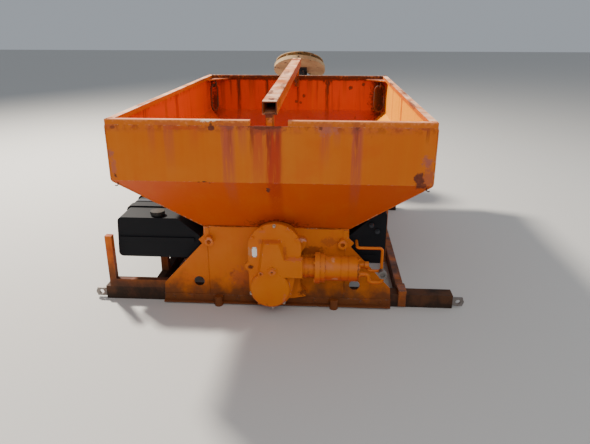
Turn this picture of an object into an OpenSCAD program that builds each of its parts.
// Demountable road gritter body with a screw conveyor and a fold-up spinner unit.
// Millimetres. X is across, the gearbox end faces -Y and the spinner end +Y, Z is up.
// The origin is on the floor under the centre of the whole stored machine.

/* [Hopper] */
// Width over the rim
hop_w = 1560; // [1400:10:1700]
// Length over the rim
hop_l = 2360; // [2200:10:2600]
// Height of the rim above the floor
rim_z = 1110; // [1050:5:1180]
// Height of the knee, where the upright band ends and the slopes begin
knee_z = 810; // [780:5:840]
// Height where the end slopes stop on the end plates
hip_z = 475; // [450:5:500]
// Half width between the side slopes at the top of the end plates
hip_x = 405; // [380:5:430]
// Distance of each end plate in from the rim's end
hip_y = 282; // [260:1:320]
// Sheet thickness, measured level
sheet = 6; // [4:0.5:8]
// Width of the rim's inward flange
rim_flange = 36; // [25:1:45]
// Depth of the rim's flange
rim_t = 25; // [15:1:30]
// Half width of the gap in the front rim for the beam's post
notch_x = 90; // [60:5:110]

/* [Screw conveyor] */
// Height of the screw's axis
auger_z = 210; // [205:1:220]
// Radius of the screw's flight
auger_r = 105; // [90:1:108]
// Radius of the screw's shaft
shaft_r = 24; // [20:1:30]
// Pitch of the flight
auger_pitch = 158; // [150:1:159]
// Whole turns of the flight
auger_turns = 13; // [10:1:13]
// Thickness of the flight, measured along the axis
flight_t = 8; // [5:0.5:10]
// Inner radius of the trough
trough_r = 117; // [115:1:120]

/* [Base frame] */
// Length of the front cross beam
front_beam_l = 2020; // [1900:10:2100]
// Length of the rear cross beam
rear_beam_l = 1780; // [1700:10:1800]
// Outer side of the square cross beams
beam_s = 80; // [70:1:84]
// Wall of the square tubes
tube_t = 5; // [3:0.5:6]
// Distance of the side rails' centres from the middle
rail_x = 722; // [700:1:740]
// Width of the side rails
rail_w = 44; // [40:1:60]
// End plate thickness
plate_t = 8; // [6:1:10]

/* [Top beam] */
// Width of the beam
ridge_w = 70; // [60:1:80]
// Depth of the beam
ridge_h = 62; // [55:1:70]
// Height of the beam's top at the front
ridge_front_z = 1192; // [1180:1:1210]
// Height of the beam's top at the rear
ridge_rear_z = 1254; // [1240:1:1270]

/* [Spinner unit] */
// Hinge axis behind the rim's rear end
hinge_back = 40; // [35:1:60]
// Height of the hinge axis
hinge_z = 400; // [390:1:420]
// Drop of the disc below the hinge at work
disc_drop = 880; // [840:5:900]
// Radius of the spinner disc
disc_r = 225; // [200:5:235]
// Angle through which the unit folds up from its working place
fold_angle = 150; // [145:1:155]

/* [Hidden] */
$fn = 48;
eps = 0.01;

// Distances from here on are behind the rim's front face, until from_rim() moves them.
plate_front = hip_y - plate_t;
rear_plate_y = hop_l - hip_y;
rear_beam_y = rear_plate_y - beam_s;
slope_run = hop_w / 2 - hip_x;
slope_rise = knee_z - hip_z;
side_rise = slope_rise / slope_run;
trough_edge_z = hip_z - (hip_x - trough_r) * side_rise;
side_angle = atan(side_rise);

hinge_y = hop_l + hinge_back;
outlet_y = hinge_y - 170;
outlet_l = 130;
housing_end = hinge_y - 6;
housing_x = trough_r + sheet;
collar_z = 60;

chute_x = 110;
chute_front = outlet_y - 30;
chute_rear = hinge_y - 10;
chute_top = collar_z - 6;
chute_t = 4;
disc_y = hinge_y + 40;
disc_z = hinge_z - disc_drop;
disc_t = 6;
chute_end = disc_z + 130;

// Place of a point of the working spinner unit after folding, as [y, z].
function folded(y, z) = [
    hinge_y + (y - hinge_y) * cos(fold_angle) - (z - hinge_z) * sin(fold_angle),
    hinge_z + (y - hinge_y) * sin(fold_angle) + (z - hinge_z) * cos(fold_angle)
];

overall_l = folded(disc_y - disc_r, disc_z - disc_t)[0];
rim_y = -overall_l / 2;

// Gearbox: an upper and a lower lobe as [x, z, radius], joined by straight sides.
upper_lobe = [6, 404, 144];
lower_lobe = [-18, 170, 116];
gear_depth = 120;
flange_t = 14;
dome_t = 28;
gear_front = plate_front - gear_depth;
neck_x = 157;
motor_z = 277;
motor_y = plate_front - 82;

tank_y0 = hip_y + 40;
tank_l = 1180;
right_tank_l = 760;
bracket_x = 982;

orange = [0.82, 0.38, 0.06];
dark_orange = [0.62, 0.26, 0.05];
steel = [0.45, 0.43, 0.41];
rust = [0.36, 0.20, 0.12];
black_plastic = [0.07, 0.07, 0.08];
salt_tan = [0.62, 0.50, 0.36];
rubber = [0.13, 0.13, 0.14];

// Moves what is measured from the rim's front face into the machine's own frame.
module from_rim() {
    translate([0, rim_y, 0]) children();
}

// Folds what is drawn in its working place up about the hinge.
module fold_up() {
    translate([0, hinge_y, hinge_z])
        rotate([fold_angle, 0, 0])
            translate([0, -hinge_y, -hinge_z])
                children();
}

// A block between two corners.
module block(low, high) {
    translate(low) cube(high - low);
}

// A cylinder along Y from y to y + l, centred on x and z.
module rod_y(x, y, z, r, l) {
    translate([x, y, z]) rotate([-90, 0, 0]) cylinder(r = r, h = l);
}

// A cylinder along X from x to x + l, centred on y and z.
module rod_x(x, y, z, r, l) {
    translate([x, y, z]) rotate([0, 90, 0]) cylinder(r = r, h = l);
}

// A flat plate whose outline is drawn as [x, z] points, from y back to y + t.
module plate_xz(y, t) {
    translate([0, y + t, 0]) rotate([90, 0, 0]) linear_extrude(t) children();
}

// A flat plate whose outline is drawn as [y, z] points, from x to x + t.
module plate_yz(x, t) {
    translate([x, 0, 0]) rotate([90, 0, 90]) linear_extrude(t) children();
}

// A solid with eight corners: four on one face and the matching four on the other.
module slab(a, b) {
    polyhedron(
        points = concat(a, b),
        faces = [[0, 1, 2, 3], [7, 6, 5, 4], [0, 4, 5, 1], [1, 5, 6, 2], [2, 6, 7, 3], [3, 7, 4, 0]]
    );
}

// Corners of the hopper at one level, as [half width, distance in from each end].
rim_ring = [hop_w / 2, 0];
knee_ring = [hop_w / 2, 0];
hip_ring = [hip_x, hip_y];

// Sheet of an end wall between two levels, with mitred edges. side is 1 at the front, -1 at the rear.
module end_sheet(low, low_z, high, high_z, side) {
    function wall_y(ring, inset) = side > 0 ? ring[1] + inset : hop_l - ring[1] - inset;
    function face(inset) = [
        [-low[0] + inset, wall_y(low, inset), low_z],
        [low[0] - inset, wall_y(low, inset), low_z],
        [high[0] - inset, wall_y(high, inset), high_z],
        [-high[0] + inset, wall_y(high, inset), high_z]
    ];
    if (side > 0) slab(face(sheet), face(0));
    else slab(face(0), face(sheet));
}

// Sheet of a side wall between two levels. side is 1 on the right, -1 on the left.
module side_sheet(low, low_z, high, high_z, side) {
    function face(inset) = [
        [side * (low[0] - inset), low[1] + inset, low_z],
        [side * (low[0] - inset), hop_l - low[1] - inset, low_z],
        [side * (high[0] - inset), hop_l - high[1] - inset, high_z],
        [side * (high[0] - inset), high[1] + inset, high_z]
    ];
    if (side > 0) slab(face(sheet), face(0));
    else slab(face(0), face(sheet));
}

module end_wall(side) {
    end_sheet(knee_ring, knee_z, rim_ring, rim_z - rim_t, side);
    end_sheet(hip_ring, hip_z, knee_ring, knee_z, side);
}

// Side wall: band, slope, and the lower slope that runs on to the trough between the end plates.
module side_wall(side) {
    side_sheet(knee_ring, knee_z, rim_ring, rim_z - rim_t, side);
    side_sheet(hip_ring, hip_z, knee_ring, knee_z, side);
    lower = [[trough_r, trough_edge_z], [hip_x, hip_z]];
    translate([0, rear_plate_y, 0])
        rotate([90, 0, 0])
            linear_extrude(rear_plate_y - hip_y)
                polygon([
                    [side * lower[0][0], lower[0][1]], [side * lower[1][0], lower[1][1]],
                    [side * (lower[1][0] - sheet), lower[1][1]], [side * (lower[0][0] - sheet), lower[0][1]]
                ]);
}

module hopper_front() {
    color(orange) from_rim() end_wall(1);
}

module hopper_rear() {
    color(orange) from_rim() end_wall(-1);
}

module hopper_left() {
    color(orange) from_rim() side_wall(-1);
}

module hopper_right() {
    color(orange) from_rim() side_wall(1);
}

// Folded flange round the hopper's mouth, open at the front for the beam's post.
module rim() {
    color(orange) from_rim() difference() {
        block([-hop_w / 2, 0, rim_z - rim_t], [hop_w / 2, hop_l, rim_z]);
        block([-hop_w / 2 + rim_flange, rim_flange, rim_z - rim_t - 1],
              [hop_w / 2 - rim_flange, hop_l - rim_flange, rim_z + 1]);
        block([-notch_x, -1, rim_z - rim_t - 1], [notch_x, rim_flange + 1, rim_z + 1]);
    }
}

// Section of the trough: a half pipe whose edges rise to meet the side slopes.
module trough_section() {
    difference() {
        union() {
            circle(trough_r + sheet);
            translate([-trough_r - sheet, 0]) square([2 * (trough_r + sheet), trough_edge_z - auger_z]);
        }
        circle(trough_r);
        translate([-trough_r, 0]) square([2 * trough_r, 200]);
        translate([-200, trough_edge_z - auger_z]) square([400, 200]);
    }
}

module trough() {
    color(dark_orange) from_rim()
        translate([0, rear_plate_y, auger_z])
            rotate([90, 0, 0])
                linear_extrude(rear_plate_y - hip_y)
                    trough_section();
}

// Outline shared by both end plates, as [x, z] corners on the right from the top down.
plate_side = [[hip_x, hip_z], [hip_x + 2, 420], [436, 393], [418, 370], [650, 118], [660, 8]];
module plate_outline() {
    other = [for (i = [len(plate_side) - 1:-1:0]) [-plate_side[i][0], plate_side[i][1]]];
    polygon(concat(plate_side, other));
}

plate_hole = [447, 133];
plate_hole_r = 30;
lug_x = 372;
lug_z = 392;
lug_r = 12;
lug_t = 12;
// Depth of the foot folded out along the plate's lower edge
foot_l = 32;
// Half width of the middle panel, which the side gussets lap behind
panel_x = 388;
module front_plate() {
    color(orange) from_rim() {
        difference() {
            union() {
                plate_xz(plate_front + 2.5, plate_t - 2.5) plate_outline();
                plate_xz(plate_front, plate_t - 2) intersection() {
                    plate_outline();
                    translate([-panel_x, 0]) square([2 * panel_x, 600]);
                }
            }
            for (s = [-1, 1])
                rod_y(s * plate_hole[0], plate_front - 1, plate_hole[1], plate_hole_r, plate_t + 2);
            rod_y(0, plate_front - 1, auger_z, 60, plate_t + 2);
        }
        block([-655, plate_front - foot_l, 8], [655, plate_front + 3, 16]);
        block([-652, plate_front - 5, 16], [652, plate_front + 3, 48]);
        for (s = [-1, 1]) {
            // Edge strip beside the lug, and the round foot under it.
            block([s * 387 - 13, plate_front - 5, 384], [s * 387 + 13, plate_front + 3, 470]);
            translate([s * 332, plate_front - foot_l, 0]) cylinder(r = 24, h = 58);
            difference() {
                union() {
                    rod_y(s * lug_x, plate_front - 30, lug_z, 26, lug_t);
                    block([s * lug_x - 12, plate_front - 30, lug_z + 16],
                          [s * lug_x + 12, plate_front, lug_z + 30]);
                }
                rod_y(s * lug_x, plate_front - 31, lug_z, lug_r, lug_t + 2);
            }
        }
    }
}

// Rear end plate, behind the rear cross beam, with the screw's way out.
module rear_plate() {
    color(orange) from_rim() difference() {
        plate_xz(rear_plate_y, plate_t) plate_outline();
        rod_y(0, rear_plate_y - 1, auger_z, trough_r, plate_t + 2);
    }
}

// Square tube along X between two ends, standing on the floor.
module cross_tube(y, l) {
    difference() {
        block([-l / 2, y, 0], [l / 2, y + beam_s, beam_s]);
        block([-l / 2 - 1, y + tube_t, tube_t], [l / 2 + 1, y + beam_s - tube_t, beam_s - tube_t]);
    }
}

module front_beam() {
    color(orange) from_rim() cross_tube(hip_y, front_beam_l);
}

module rear_beam() {
    color(orange) from_rim() cross_tube(rear_beam_y, rear_beam_l);
}

module rail(side) {
    x = side * rail_x - rail_w / 2;
    difference() {
        block([x, hip_y + beam_s, 0], [x + rail_w, rear_beam_y, beam_s]);
        block([x + tube_t, hip_y + beam_s - 1, tube_t],
              [x + rail_w - tube_t, rear_beam_y + 1, beam_s - tube_t]);
    }
}

module left_rail() {
    color(orange) from_rim() rail(-1);
}

// The right rail has a cap that lies over the front beam and turns down before it.
module right_rail() {
    x = rail_x - rail_w / 2;
    cap = 27;
    color(orange) from_rim() {
        rail(1);
        block([x, plate_front - 4, beam_s], [x + rail_w, hip_y + beam_s + 10, beam_s + cap]);
        block([x, plate_front - 4, 8], [x + rail_w, hip_y, beam_s + 1]);
    }
}

eye_r = 14;
eye_t = 14;
eye_out = 34;
// Half distance between the rear lashing plates
rear_eye_x = 830;
// Lashing plates: one on each end of the front beam, and two on the back of the rear beam.
module lashing_plate(side) {
    difference() {
        union() {
            translate([side > 0 ? 0 : -60, 0]) square([60, 50]);
            translate([side * 42, 25]) circle(25);
        }
        translate([side * eye_out, 25]) circle(eye_r);
    }
}

module lashing_eyes() {
    color(steel) from_rim() for (s = [-1, 1]) {
        plate_xz(hip_y + 10, eye_t) translate([s * front_beam_l / 2, 12]) lashing_plate(s);
        plate_yz(s * rear_eye_x - eye_t / 2, eye_t) translate([rear_beam_y + beam_s, 12]) lashing_plate(1);
    }
}

// Upright props from the rear cross beam to the side slopes.
prop_x = 600;
prop_s = 40;
module rear_props() {
    function under(x) = knee_z - (hop_w / 2 - x) * side_rise - 0.5;
    color(orange) from_rim() for (s = [-1, 1])
        plate_xz(rear_beam_y + 20, prop_s) polygon([
            [s * (prop_x - prop_s / 2), beam_s], [s * (prop_x + prop_s / 2), beam_s],
            [s * (prop_x + prop_s / 2), under(prop_x + prop_s / 2)],
            [s * (prop_x - prop_s / 2), under(prop_x - prop_s / 2)]
        ]);
}

ridge_y0 = 45;
ridge_y1 = hop_l - 30;
ridge_tilt = atan((ridge_rear_z - ridge_front_z) / (ridge_y1 - ridge_y0));
// Underside of the beam above a point y.
function ridge_under(y) = ridge_front_z - ridge_h / cos(ridge_tilt) + (y - ridge_y0) * tan(ridge_tilt);

module top_beam() {
    l = (ridge_y1 - ridge_y0) / cos(ridge_tilt);
    color(orange) from_rim()
        translate([0, ridge_y0, ridge_front_z])
            rotate([ridge_tilt, 0, 0])
                difference() {
                    block([-ridge_w / 2, 0, -ridge_h], [ridge_w / 2, l, 0]);
                    block([-ridge_w / 2 + tube_t, -1, -ridge_h + tube_t],
                          [ridge_w / 2 - tube_t, l + 1, -tube_t]);
                    block([-12, l - 40, -tube_t - 1], [12, l + 1, 1]);
                }
}

// Post inside an end wall that carries the beam, from y to y + t.
module ridge_post(y, t, foot_z) {
    plate_yz(-19, 38) polygon([
        [y, foot_z], [y + t, foot_z], [y + t, ridge_under(y + t) - 0.2], [y, ridge_under(y) - 0.2]
    ]);
}

module front_post() {
    color(orange) from_rim() ridge_post(sheet + 40, 30, 985);
    color(orange) from_rim() block([-19, sheet, 985], [19, sheet + 40, 1055]);
}

module rear_post() {
    color(orange) from_rim() ridge_post(hop_l - rim_flange - 40, 40, 1020);
    color(orange) from_rim() block([-19, hop_l - rim_flange, 1020], [19, hop_l - sheet, rim_z - rim_t]);
}

// Flat braces across the rear corners, under the rim.
module corner_braces() {
    leg = 190;
    x = hop_w / 2 - sheet;
    y = hop_l - sheet;
    color(orange) from_rim() for (s = [-1, 1])
        translate([0, 0, rim_z - rim_t - 8]) linear_extrude(8)
            polygon([
                [s * x, y], [s * x, y - leg], [s * (x - 30), y - leg],
                [s * (x - leg), y - 30], [s * (x - leg), y]
            ]);
}

// An oval ring in the XZ plane, hanging from its top, of bar radius r.
module oval_ring(w, h, r) {
    bend = w / 2 - r;
    leg = h - w;
    for (s = [0, 1])
        translate([0, 0, -w / 2 - (s == 0 ? 0 : leg)])
            rotate([90, s == 0 ? 0 : 180, 0])
                rotate_extrude(angle = 180) translate([bend, 0]) circle(r, $fn = 16);
    for (s = [-1, 1])
        translate([s * bend, 0, -w / 2 - leg]) cylinder(r = r, h = leg, $fn = 16);
}

ring_x = 716;
ring_y = 2240;
eye_bend = 24;
eye_bar = 7;
// Turn of each hanging ring about its own upright, on the left and on the right.
ring_turns = [[-1, 62], [1, 8]];
module lifting_rings() {
    under = rim_z - rim_t - 8;
    eye_at = under - eye_bend - eye_bar;
    color(rust) from_rim() for (r = ring_turns) translate([r[0] * ring_x, ring_y, 0]) rotate([0, 0, r[1]]) {
        translate([0, 0, eye_at - eye_bend + eye_bar + 16]) oval_ring(100, 235, 8);
        translate([0, 0, eye_at]) rotate([0, 90, 0])
            rotate_extrude(angle = 360, $fn = 32) translate([eye_bend, 0]) circle(eye_bar, $fn = 16);
    }
}

// Short chain on a tab under the beam's rear end: each link hangs in the one above it.
link_w = 26;
link_h = 46;
link_bar = 4;
module hanging_chain() {
    y = ridge_y1 - 75;
    pitch = link_h - 2 * link_bar - 1;
    hole_z = ridge_under(y) - 11;
    color(rust) from_rim() {
        difference() {
            plate_yz(-2, 4) polygon([
                [y - 12, ridge_under(y - 12) - 0.1], [y + 12, ridge_under(y + 12) - 0.1],
                [y + 12, hole_z - 8], [y + 6, hole_z - 13], [y - 6, hole_z - 13], [y - 12, hole_z - 8]
            ]);
            rod_x(-3, y, hole_z, 7, 6);
        }
        for (i = [0:3])
            translate([0, y, hole_z + 1.2 - i * pitch])
                rotate([0, 0, 90 * (i % 2)]) oval_ring(link_w, link_h, link_bar);
    }
}

// Section of the left tank as [x, z] corners, rounded off, under the side slope.
left_tank_section = [[430, 288], [478, 250], [915, 250], [934, 250], [918, 508], [560, 508], [430, 400]];
module rounded(r) {
    offset(r, $fn = 24) offset(-r) children();
}

// The tank's body, with upright ribs round it and a level ridge across each end.
module left_tank() {
    rib_y = [180, 380, 580, 780, 980];
    rib_l = 60;
    color(black_plastic) from_rim() mirror([1, 0, 0]) {
        plate_xz(tank_y0, tank_l) rounded(26) offset(-9) polygon(left_tank_section);
        for (y = rib_y) plate_xz(tank_y0 + y, rib_l) rounded(30) polygon(left_tank_section);
        for (y = [tank_y0 - 9, tank_y0 + tank_l - 1])
            block([470, y, 356], [905, y + 10, 384]);
    }
}

left_cap = [-690, tank_y0 + 52];
module left_tank_cap() {
    color(black_plastic) from_rim() translate([left_cap[0], left_cap[1], 499.2]) {
        cylinder(r = 35, h = 8);
        translate([0, 0, 8]) difference() {
            cylinder(r = 41, h = 18);
            for (a = [0:30:330]) rotate([0, 0, a]) translate([43, 0, 3]) cylinder(r = 4, h = 30, $fn = 12);
        }
    }
}

// Place of the lower slope's outer face at a height.
function slope_x(z) = trough_r + (z - trough_edge_z) / side_rise + 0.5;

// Front frame beside the left tank: a post and a bar over the front beam. Behind it are two bearers that run
// from the lower slope under the tank's ribs, on stubs over the left rail.
module left_bracket() {
    bar = 40;
    deep = 36;
    bearer = [222, 249.8];
    color(orange) from_rim() {
        block([-bracket_x, hip_y, beam_s], [-bracket_x + bar, hip_y + deep, 396]);
        block([-bracket_x + bar, hip_y, beam_s], [-630, hip_y + deep, 128]);
        for (y = [tank_y0 + 190, tank_y0 + 990]) {
            plate_xz(y, 40) polygon([
                [-slope_x(bearer[0]), bearer[0]], [-930, bearer[0]],
                [-930, bearer[1]], [-slope_x(bearer[1]), bearer[1]]
            ]);
            block([-rail_x - rail_w / 2, y, beam_s], [-rail_x + rail_w / 2, y + 40, bearer[0]]);
        }
    }
}

module left_straps() {
    color(steel) from_rim() for (y = [tank_y0 + 290, tank_y0 + 890])
        mirror([1, 0, 0]) plate_xz(y, 40) difference() {
            offset(4) rounded(26) offset(-9) polygon(left_tank_section);
            offset(0.3) rounded(26) offset(-9) polygon(left_tank_section);
        }
}

right_tank_y = hip_y + 24;
right_tank_section = [[330, 262], [612, 262], [612, 565], [560, 565], [330, 350]];
module right_tank() {
    color(black_plastic) from_rim() {
        plate_xz(right_tank_y, right_tank_l) rounded(16) polygon(right_tank_section);
        block([380, right_tank_y - 8, 290], [560, right_tank_y + 2, 316]);
    }
}

// Filler neck and cap on top, and two pipe unions in the front face.
module right_tank_cap() {
    color(steel) from_rim() {
        translate([585, right_tank_y + 96, 565.2]) cylinder(r = 20, h = 20);
        translate([585, right_tank_y + 96, 585]) cylinder(r = 26, h = 14);
        for (p = [[528, 494], [562, 458]]) {
            rod_y(p[0], right_tank_y - 24, p[1], 9, 23.8);
            rod_y(p[0], right_tank_y - 14, p[1], 14, 8);
        }
    }
}

// Bearers from the lower slope under the right tank, each hung from the side slope by a strap.
module right_bracket() {
    low = 236;
    top = 261.8;
    strap = [616, 624];
    function under(x) = hip_z + (x - hip_x) * side_rise - 0.5;
    color(dark_orange) from_rim() for (y = [hip_y + beam_s + 20, right_tank_y + right_tank_l - 90]) {
        plate_xz(y, 40) polygon([
            [slope_x(low), low], [strap[1], low], [strap[1], top], [slope_x(top), top]
        ]);
        plate_xz(y, 40) polygon([
            [strap[0], low], [strap[1], low], [strap[1], under(strap[1])], [strap[0], under(strap[0])]
        ]);
    }
}

// Outline of two discs [x, z, radius] and the straight sides that touch both, drawn in by inset.
module two_lobes(a, b, inset) {
    ra = a[2] - inset;
    rb = b[2] - inset;
    run = [b[0] - a[0], b[1] - a[1]];
    l = norm(run);
    u = run / l;
    v = [-u[1], u[0]];
    c = (ra - rb) / l;
    n = [for (s = [-1, 1]) u * c + v * s * sqrt(1 - c * c)];
    pa = [a[0], a[1]];
    pb = [b[0], b[1]];
    translate(pa) circle(ra);
    translate(pb) circle(rb);
    polygon([pa + n[0] * ra, pa + n[1] * ra, pb + n[1] * rb, pb + n[0] * rb]);
}

// Gearbox housing, cut back where it meets the hopper's slope, with a tunnel for the worm and two feet.
module gearbox() {
    function slope_z(y) = knee_z - y * slope_rise / hip_y - 2;
    cut_y = plate_front + 1;
    color(orange) from_rim() {
        difference() {
            plate_xz(gear_front, gear_depth) two_lobes(upper_lobe, lower_lobe, 22);
            plate_yz(-200, 400) polygon([
                [gear_front, slope_z(gear_front)], [cut_y, slope_z(cut_y)], [cut_y, 700], [gear_front, 700]
            ]);
        }
        difference() {
            rod_x(40, motor_y, motor_z, 62, neck_x - 40);
            block([30, gear_front - 80, 200], [neck_x + 1, gear_front, 360]);
        }
        plate_xz(plate_front - 46, 46)
            polygon([[95, 434], [158, 432], [175, 414], [170, 389], [146, 352], [95, 345]]);
        plate_xz(plate_front - 46, 46)
            polygon([[40, 215], [140, 215], [142, 137], [178, 100], [172, 80], [100, 66], [40, 62]]);
    }
}

// Cover: a flat flange with the raised worm casing on it.
module gearbox_cover() {
    y = gear_front - flange_t;
    face = y - dome_t;
    color(orange) from_rim() {
        plate_xz(y, flange_t) {
            two_lobes(upper_lobe, lower_lobe, 0);
            polygon([[-120, 330], [-140, 324], [-156, 308], [-156, 290], [-140, 274], [-120, 268]]);
        }
        // Raised middle, bevelled at its top and sides.
        slab(
            [[-92, y + 1, 250], [106, y + 1, 250], [38.8, y + 1, 460], [-60.5, y + 1, 460]],
            [[-74, face, 262], [85, face, 262], [27.4, face, 442], [-47, face, 442]]
        );
        slab(
            [[40, y + 1, 238], [neck_x, y + 1, 238], [neck_x, y + 1, 362], [40, y + 1, 362]],
            [[40, face, 250], [neck_x, face, 250], [neck_x, face, 350], [40, face, 350]]
        );
        block([neck_x - 30, y, 244], [neck_x, gear_front, 356]);
        rod_y(lower_lobe[0], face + 6, lower_lobe[1] + 4, lower_lobe[2] - 9, dome_t - 5);
        translate([lower_lobe[0], face, lower_lobe[1] + 4]) rotate([-90, 0, 0])
            cylinder(r1 = lower_lobe[2] - 15, r2 = lower_lobe[2] - 9, h = 6);
        // Plugs with a socket each, the larger one on a six-sided boss.
        translate([-6, face - 5, 281]) rotate([-90, 30, 0]) cylinder(r = 30, h = 6, $fn = 6);
        for (p = [[-68, 268, 14, 6], [-6, 281, 19, 11]]) difference() {
            rod_y(p[0], face - p[3], p[1], p[2], p[3] + 1);
            rod_y(p[0], face - p[3] - 1, p[1], 7, 6);
        }
    }
}

module worm_neck() {
    color(orange) from_rim() {
        rod_x(neck_x, motor_y, motor_z, 55, 66);
        rod_x(neck_x + 12, motor_y, motor_z, 59, 10);
    }
}

// Oil motor: two flange rings, three body rings held by long screws, an end ring and two ports.
port_x = neck_x + 313;
ports = [[19, 12], [-20, -24]];
module motor() {
    x = neck_x + 66;
    color(orange) from_rim() {
        difference() {
            rod_x(x, motor_y, motor_z, 86, 28);
            block([x - 1, plate_front - 1, 200], [x + 30, plate_front + 10, 370]);
        }
        rod_x(x + 28, motor_y, motor_z, 79, 26);
        for (p = [[54, 84], [142, 36], [182, 46]]) rod_x(x + p[0], motor_y, motor_z, 69, p[1]);
        for (p = [[138, 4], [178, 4]]) rod_x(x + p[0], motor_y, motor_z, 66, p[1]);
        rod_x(x + 228, motor_y, motor_z, 64, port_x - 9 - x - 228);
        for (p = ports) rod_x(port_x - 9, motor_y + p[1], motor_z + p[0], 17, 9);
    }
}

// A round bar through corners where it turns square, on bends of radius bend.
module bent_bar(points, r, bend) {
    last = len(points) - 1;
    function along(i) = (points[i + 1] - points[i]) / norm(points[i + 1] - points[i]);
    for (i = [0:last - 1]) {
        u = along(i);
        start = points[i] + (i == 0 ? 0 : bend) * u;
        l = norm(points[i + 1] - points[i]) - (i == 0 ? 0 : bend) - (i == last - 1 ? 0 : bend);
        translate(start) rotate([0, acos(u[2]), atan2(u[1], u[0])]) cylinder(r = r, h = l, $fn = 24);
    }
    for (i = [1:last - 1]) {
        a = along(i - 1);
        b = along(i);
        n = cross(a, b);
        c = points[i] - bend * a + bend * b;
        multmatrix([
            [-b[0], a[0], n[0], c[0]], [-b[1], a[1], n[1], c[1]], [-b[2], a[2], n[2], c[2]], [0, 0, 0, 1]
        ])
            rotate_extrude(angle = 90) translate([bend, 0]) circle(r, $fn = 24);
    }
}

// Pressure pipe from the upper port, down, round and back to the right tank, and the return pipe under it.
pipe_x = 586;
pipe_low = 262;
pipe_high = 396;
tank_x = 450;
return_y = motor_y + ports[1][1];
couple_x = 588;
couple_z = 264;
module oil_pipes() {
    y = motor_y + ports[0][1];
    z = motor_z + ports[0][0];
    color(orange) from_rim() {
        rod_x(port_x + 0.2, y, z, 16, 18);
        rod_x(port_x + 22, y, z, 20, 24);
        bent_bar([
            [port_x, y, z], [510, y, z], [510, y, pipe_low], [pipe_x, y, pipe_low],
            [pipe_x, y, pipe_high], [tank_x, y, pipe_high], [tank_x, right_tank_y - 0.2, pipe_high]
        ], 8, 16);
    }
    color(steel) from_rim() {
        z2 = motor_z + ports[1][0];
        rod_x(port_x + 0.2, return_y, z2, 14, 16);
        bent_bar([
            [port_x, return_y, z2], [514, return_y, z2], [514, return_y, 211], [couple_x, return_y, 211],
            [couple_x, return_y, 237.8]
        ], 11, 22);
    }
}

// Screw coupling that faces forward at the return pipe's end, held to the pressure pipe by a clip.
module coupling_block() {
    y1 = motor_y + ports[0][1];
    front = return_y - 22;
    color(steel) from_rim() {
        difference() {
            union() {
                rod_y(couple_x, front, couple_z, 23, 12);
                rod_y(couple_x, front + 11, couple_z, 18, 34);
                translate([couple_x, return_y, 238]) cylinder(r = 14, h = 26);
            }
            rod_y(couple_x, front - 1, couple_z, 14, 15);
        }
        block([couple_x - 14, front + 40, pipe_low - 6], [couple_x - 4, y1 - 8.1, pipe_low + 6]);
    }
}

module bearing(y, flange_t, boss_t) {
    difference() {
        union() {
            rod_y(0, y, auger_z, 85, flange_t);
            rod_y(0, y + flange_t, auger_z, 45, boss_t);
        }
        rod_y(0, y - 1, auger_z, shaft_r + 0.05, flange_t + boss_t + 2);
    }
}

module front_bearing() {
    color(steel) from_rim() bearing(hip_y, 12, 10);
}

module rear_bearing() {
    color(steel) from_rim() bearing(housing_end, 14, 24);
}

// Section of the housing: round below, square above.
module housing_section(r) {
    circle(r);
    translate([-r, 0]) square([2 * r, r]);
}

// Housing behind the rear plate: a closed square-topped trough with an outlet in its floor.
module outlet_housing() {
    y0 = rear_plate_y + plate_t;
    color(orange) from_rim() difference() {
        union() {
            translate([0, housing_end, auger_z]) rotate([90, 0, 0])
                linear_extrude(housing_end - y0) housing_section(housing_x);
            block([-housing_x + 10, outlet_y - 6, collar_z],
                  [housing_x - 10, outlet_y + outlet_l + 6, auger_z]);
        }
        translate([0, housing_end - sheet, auger_z]) rotate([90, 0, 0])
            linear_extrude(housing_end - y0) housing_section(trough_r);
        block([-housing_x + 16, outlet_y, collar_z - 1], [housing_x - 16, outlet_y + outlet_l, auger_z]);
        rod_y(0, housing_end - 20, auger_z, 40, 30);
    }
}

ear_x = 92;
ear_t = 10;
pin_r = 12;
// Ears on top of the housing with the hinge pin through them.
module hinge_ears() {
    top = auger_z + housing_x;
    color(orange) from_rim() for (s = [-1, 1])
        plate_yz(s * ear_x - ear_t / 2, ear_t) hull() {
            translate([hinge_y - 150, top]) square([140, 1]);
            translate([hinge_y, hinge_z]) circle(26);
        }
    color(steel) from_rim() rod_x(-150, hinge_y, hinge_z, pin_r, 300);
}

// One turn of the screw's flight from y0: a ring of four corners (inner and outer, front and back) a step.
module flight_turn(y0) {
    steps = 16;
    inner_r = (shaft_r + 0.05) / cos(180 / steps);
    function corner(i, r, back) = [
        r * cos(i * 360 / steps), y0 + i * auger_pitch / steps + back * flight_t, r * sin(i * 360 / steps)
    ];
    rings = [for (i = [0:steps]) each [
        corner(i, inner_r, 0), corner(i, auger_r, 0), corner(i, auger_r, 1), corner(i, inner_r, 1)
    ]];
    sides = [for (i = [0:steps - 1], k = [0:3])
        let (a = 4 * i + k, b = 4 * i + (k + 1) % 4) each [[a, b, b + 4], [a, b + 4, a + 4]]
    ];
    last = 4 * steps;
    caps = [[2, 1, 0], [3, 2, 0], [last, last + 1, last + 2], [last, last + 2, last + 3]];
    polyhedron(rings, concat(sides, caps), convexity = 4);
}

module auger_flight() {
    color(rust) from_rim() translate([0, hip_y + 30, auger_z])
        for (t = [0:auger_turns - 1]) flight_turn(t * auger_pitch);
}

module auger_shaft() {
    start = hip_y - 6;
    color(steel) from_rim() rod_y(0, start, auger_z, shaft_r, housing_end + 38 + 4 - start);
}

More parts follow.
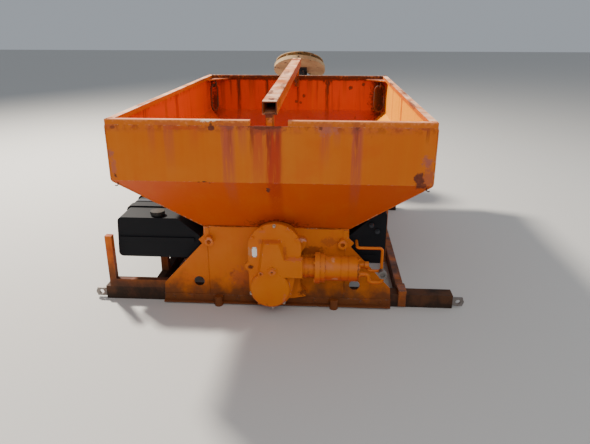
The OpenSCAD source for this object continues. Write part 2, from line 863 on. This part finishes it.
// Rectangular duct that hangs under the outlet at work.
module chute() {
    color(orange) from_rim() fold_up() difference() {
        block([-chute_x, chute_front, chute_end], [chute_x, chute_rear, chute_top]);
        block([-chute_x + chute_t, chute_front + chute_t, chute_end - 1],
              [chute_x - chute_t, chute_rear - chute_t, chute_top + 1]);
    }
}

arm_t = 10;
arm_x = housing_x + 6;
// Arms that hang on the hinge pin beside the housing, on packers at the duct's sides.
module fold_arms() {
    color(orange) from_rim() fold_up() for (s = [-1, 1]) {
        difference() {
            plate_yz(s * (arm_x + arm_t / 2) - arm_t / 2, arm_t) hull() {
                translate([chute_front + 20, chute_top - 240]) square([chute_rear - chute_front - 40, 240]);
                translate([hinge_y, hinge_z]) circle(28);
            }
            rod_x(s * (arm_x + arm_t / 2) - arm_t, hinge_y, hinge_z, pin_r + 0.05, 2 * arm_t);
        }
        for (z = [chute_top - 230, chute_top - 60])
            block([s > 0 ? chute_x : -arm_x, chute_front + 30, z],
                  [s > 0 ? arm_x : -chute_x, chute_rear - 30, z + 50]);
    }
}

cover_z = disc_z + 67;
// Oil motor on its bracket, over the disc at work, with two ports.
module spinner_motor() {
    color(steel) from_rim() fold_up() {
        block([-70, chute_rear, disc_z + 70], [70, disc_y + 60, disc_z + 82]);
        block([-70, chute_rear, disc_z + 82], [70, chute_rear + 10, disc_z + 220]);
        translate([0, disc_y, disc_z + 82]) cylinder(r = 54, h = 12);
        translate([0, disc_y, disc_z + 94]) cylinder(r = 46, h = 98);
        translate([0, disc_y, disc_z + 192]) cylinder(r = 30, h = 22);
        for (x = [-24, 24]) rod_y(x, disc_y + 30, disc_z + 160, 13, 34);
    }
}

skirt_r = disc_r + 16;
skirt_h = 30;
// Round cover over the disc with a turned-down rim, open under the duct and round the motor's shaft.
module spinner_guard() {
    color(salt_tan) from_rim() fold_up() translate([0, disc_y, cover_z]) {
        difference() {
            translate([0, 0, -skirt_h]) cylinder(r = skirt_r, h = skirt_h + 3, $fn = 96);
            translate([0, 0, -skirt_h - 1]) cylinder(r = skirt_r - 3, h = skirt_h + 1, $fn = 96);
            translate([0, 0, -1]) cylinder(r = 34, h = 6);
            block([-chute_x + 8, chute_front - disc_y + 36, -1], [chute_x - 8, chute_rear - disc_y - 6, 6]);
        }
    }
}

vane_h = 40;
module spinner_disc() {
    color(salt_tan) from_rim() fold_up() translate([0, disc_y, disc_z]) {
        translate([0, 0, -disc_t]) cylinder(r = disc_r, h = disc_t, $fn = 96);
        cylinder(r = 42, h = 12);
        cylinder(r = 26, h = 30);
        cylinder(r = 14, h = 68);
        for (a = [0:60:300]) rotate([0, 0, a])
            plate_xz(-2.5, 5) polygon([
                [44, -1], [disc_r - 6, -1], [disc_r - 6, 24], [disc_r - 30, vane_h], [70, vane_h], [44, 20]
            ]);
    }
}

hopper_front();
hopper_rear();
hopper_left();
hopper_right();
rim();
trough();
front_plate();
rear_plate();
front_beam();
rear_beam();
left_rail();
right_rail();
lashing_eyes();
rear_props();
top_beam();
front_post();
rear_post();
corner_braces();
lifting_rings();
hanging_chain();
left_tank();
left_tank_cap();
left_bracket();
left_straps();
right_tank();
right_tank_cap();
right_bracket();
gearbox();
gearbox_cover();
worm_neck();
motor();
oil_pipes();
coupling_block();
front_bearing();
rear_bearing();
outlet_housing();
hinge_ears();
auger_flight();
auger_shaft();
chute();
fold_arms();
spinner_motor();
spinner_guard();
spinner_disc();
